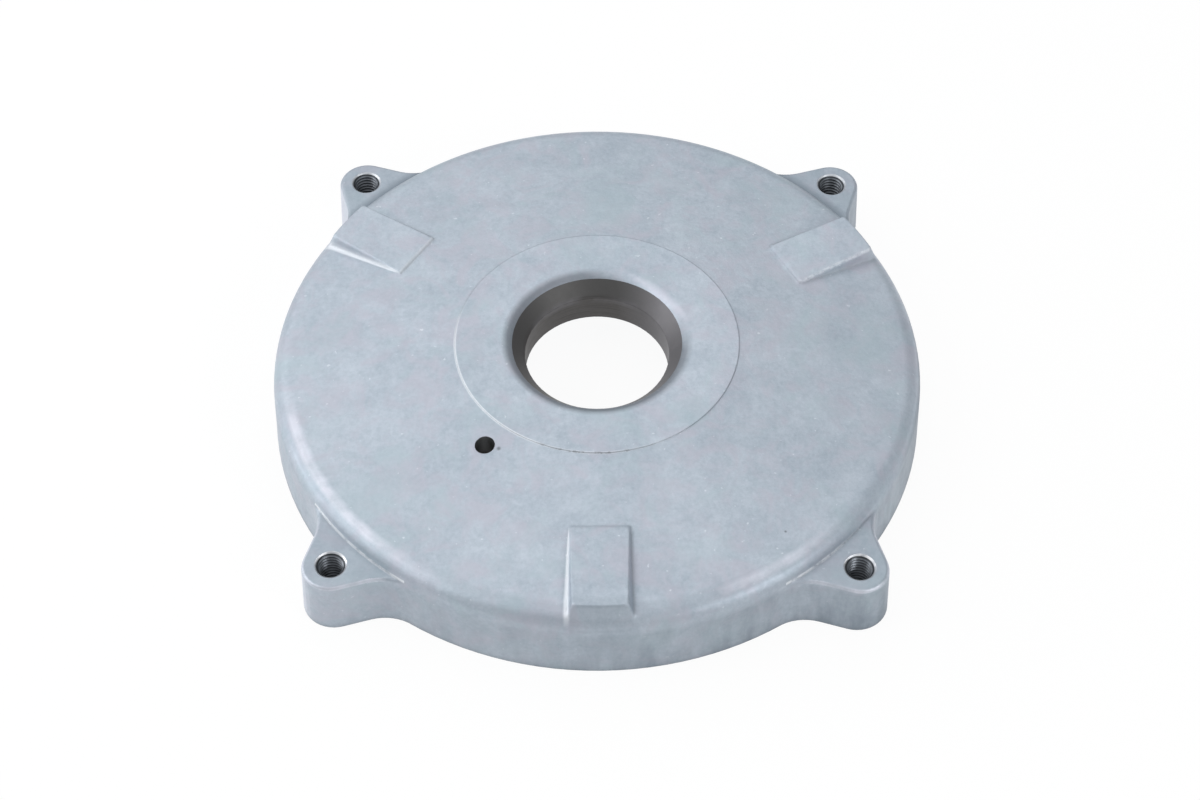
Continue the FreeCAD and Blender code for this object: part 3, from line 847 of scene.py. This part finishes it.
def thread_ridge(sizes, wall):
    """A helical ridge of triangular section standing inwards from the hole's wall."""
    mesh = bmesh.new()
    low, high = sizes.mouth, EAR_TOP - sizes.mouth
    turns = (high - low) / sizes.pitch
    count = int(turns * sizes.steps)
    # The ridge grows to its full height over a quarter turn at each end
    run_in = sizes.steps / 4
    back = wall + 0.05 * MM
    foot = wall - 0.01 * MM
    widest = 0.46 * sizes.pitch
    rings = []
    for step in range(count + 1):
        angle = 2 * math.pi * step / sizes.steps
        rise = low + (high - low) * step / count
        full = min(1, step / run_in, (count - step) / run_in)
        crest = wall - sizes.depth * full
        width = widest * (0.3 + 0.7 * full)
        crest_width = 0.1 * width
        section = ((back, -width), (foot, -width), (crest, -crest_width),
                   (crest, crest_width), (foot, width), (back, width))
        rings.append([
            mesh.verts.new((radius * math.cos(angle), radius * math.sin(angle), rise + lift))
            for radius, lift in section])
    for before, after in zip(rings, rings[1:]):
        for i in range(len(before)):
            j = (i + 1) % len(before)
            mesh.faces.new((before[i], before[j], after[j], after[i]))
    mesh.faces.new(reversed(rings[0]))
    mesh.faces.new(rings[-1])
    bmesh.ops.recalc_face_normals(mesh, faces=mesh.faces)
    return mesh


def add_object(name, data):
    """A new object in the scene's collection."""
    made = bpy.data.objects.new(name, data)
    bpy.context.collection.objects.link(made)
    return made


def add_lamp(name, place, target, width, height, power):
    """A soft rectangular lamp aimed at a point."""
    lamp = bpy.data.lights.new(name, "AREA")
    lamp.shape = "RECTANGLE"
    lamp.size = width
    lamp.size_y = height
    lamp.energy = power
    holder = add_object(name, lamp)
    holder.location = place
    aim = Vector(target) - Vector(place)
    holder.rotation_euler = aim.to_track_quat("-Z", "Y").to_euler()


def shown_white(shader):
    """1 where the camera, a reflection or a transmission looks, else 0."""
    path = shader.node("ShaderNodeLightPath")
    return shader.strongest(path.outputs["Is Camera Ray"], path.outputs["Is Glossy Ray"],
                            path.outputs["Is Transmission Ray"])


class MOTORCOVER_OT_finish_casting(bpy.types.Operator):
    """Give the casting its skin, its turned bore and its drilled holes"""

    bl_idname = "motorcover.finish_casting"
    bl_label = "Finish Casting"

    def execute(self, context):
        settings = context.scene.motor_cover
        cover = FRAME["nodes"][COVER]
        skin = cover_skin(settings.cast, settings.machined)
        if not cover.material_slots:
            raise RuntimeError("the casting has no material slot")
        for slot in cover.material_slots:
            slot.material = skin
        return {"FINISHED"}


class MOTORCOVER_OT_cut_threads(bpy.types.Operator):
    """Cut the screw threads in the ears"""

    bl_idname = "motorcover.cut_threads"
    bl_label = "Cut Threads"

    def execute(self, context):
        settings = context.scene.motor_cover
        steel = thread_steel(settings.machined)
        pitch_radius = EARS["dims"]["pcd_mm"] * MM / 2
        for index in range(EARS["dims"]["count"]):
            name = f"ear_thread_{index + 1}"
            data = bpy.data.meshes.new(name)
            ridge = thread_ridge(settings.thread, EAR_HOLE)
            angle = math.radians(45 + 90 * index)
            place = Vector((math.cos(angle), math.sin(angle), 0)) * pitch_radius
            bmesh.ops.translate(ridge, verts=ridge.verts, vec=place)
            ridge.to_mesh(data)
            ridge.free()
            data.materials.append(steel)
            thread = add_object(name, data)
            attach(thread, "root")
        return {"FINISHED"}


class MOTORCOVER_OT_set_stage(bpy.types.Operator):
    """Lay the floor, light it softly and place the camera"""

    bl_idname = "motorcover.set_stage"
    bl_label = "Set Stage"

    def execute(self, context):
        setup = context.scene.motor_cover.stage
        self.lay_floor(setup)
        self.light(context.scene, setup)
        self.place_camera(context.scene, setup)
        return {"FINISHED"}

    @staticmethod
    def lay_floor(setup):
        """A plain floor that shows near white and keeps the cover's shadow."""
        mesh = bmesh.new()
        bmesh.ops.create_circle(mesh, cap_ends=True, segments=96, radius=FLOOR_RADIUS)
        data = bpy.data.meshes.new("floor")
        mesh.to_mesh(data)
        mesh.free()
        floor = add_object("floor", data)
        floor.location.z = -FLOOR_GAP
        material = bpy.data.materials.new("floor_paper")
        shader = Shader(material)
        paper = shader.node("ShaderNodeBsdfDiffuse")
        paper.inputs["Color"].default_value = (*setup.floor_colour, 1)
        white = shader.node("ShaderNodeEmission")
        blend = shader.node("ShaderNodeMixShader")
        shader.feed(blend.inputs[0], shader.product(shown_white(shader), setup.floor_glow))
        shader.feed(blend.inputs[1], paper.outputs[0])
        shader.feed(blend.inputs[2], white.outputs[0])
        output = shader.node("ShaderNodeOutputMaterial")
        shader.feed(output.inputs["Surface"], blend.outputs[0])
        data.materials.append(material)

    @staticmethod
    def light(scene, setup):
        """Even light from all round, and the soft lamps."""
        world = bpy.data.worlds.new("studio")
        scene.world = world
        shader = Shader(world)
        even = shader.node("ShaderNodeBackground")
        even.inputs["Color"].default_value = (*setup.sky_colour, 1)
        even.inputs["Strength"].default_value = setup.sky_strength
        white = shader.node("ShaderNodeBackground")
        white.inputs["Strength"].default_value = 1
        blend = shader.node("ShaderNodeMixShader")
        path = shader.node("ShaderNodeLightPath")
        shader.feed(blend.inputs[0], path.outputs["Is Camera Ray"])
        shader.feed(blend.inputs[1], even.outputs[0])
        shader.feed(blend.inputs[2], white.outputs[0])
        output = shader.node("ShaderNodeOutputWorld")
        shader.feed(output.inputs["Surface"], blend.outputs[0])
        for name, place, width, height, power in LAMPS:
            add_lamp(name, place, LAMP_TARGET, width, height, power)

    @staticmethod
    def place_camera(scene, setup):
        """The camera at the photograph's viewing angle."""
        turn = (Matrix.Rotation(setup.azimuth, 4, "Z")
                @ Matrix.Rotation(math.pi / 2 - setup.elevation, 4, "X")
                @ Matrix.Rotation(setup.roll, 4, "Z"))
        camera = add_object("camera", bpy.data.cameras.new("camera"))
        camera.data.lens = setup.lens
        camera.data.sensor_width = SENSOR_WIDTH
        camera.data.sensor_fit = "HORIZONTAL"
        camera.data.clip_end = CAMERA_REACH
        offset = Vector((setup.aim_right, setup.aim_up, setup.distance))
        camera.matrix_world = Matrix.Translation(turn @ offset) @ turn
        scene.camera = camera
        scene.view_settings.view_transform = "Standard"


class MOTORCOVER_PT_panel(bpy.types.Panel):
    """Steps and settings of the motor cover"""

    bl_idname = "MOTORCOVER_PT_panel"
    bl_label = "Motor Cover"
    bl_space_type = "VIEW_3D"
    bl_region_type = "UI"
    bl_category = "Motor Cover"

    def draw(self, context):
        settings = context.scene.motor_cover
        groups = (
            (settings.cast, MOTORCOVER_OT_finish_casting),
            (settings.machined, None),
            (settings.thread, MOTORCOVER_OT_cut_threads),
            (settings.stage, MOTORCOVER_OT_set_stage),
        )
        for group, operator in groups:
            box = self.layout.box()
            for name in group.__annotations__:
                box.prop(group, name)
            if operator:
                box.operator(operator.bl_idname)


CLASSES = (
    CastFinish,
    MachinedFinish,
    ThreadSizes,
    StageSetup,
    MotorCoverSettings,
    MOTORCOVER_OT_finish_casting,
    MOTORCOVER_OT_cut_threads,
    MOTORCOVER_OT_set_stage,
    MOTORCOVER_PT_panel,
)


def register():
    """Make the classes and the scene's settings known to Blender."""
    for cls in CLASSES:
        bpy.utils.register_class(cls)
    bpy.types.Scene.motor_cover = PointerProperty(type=MotorCoverSettings)


def unregister():
    """Take back what register did."""
    del bpy.types.Scene.motor_cover
    for cls in reversed(CLASSES):
        bpy.utils.unregister_class(cls)


def main():
    """Finish the cover, cut its threads and set the stage."""
    register()
    bpy.ops.motorcover.finish_casting()
    bpy.ops.motorcover.cut_threads()
    bpy.ops.motorcover.set_stage()


if __name__ == "__main__":
    main()
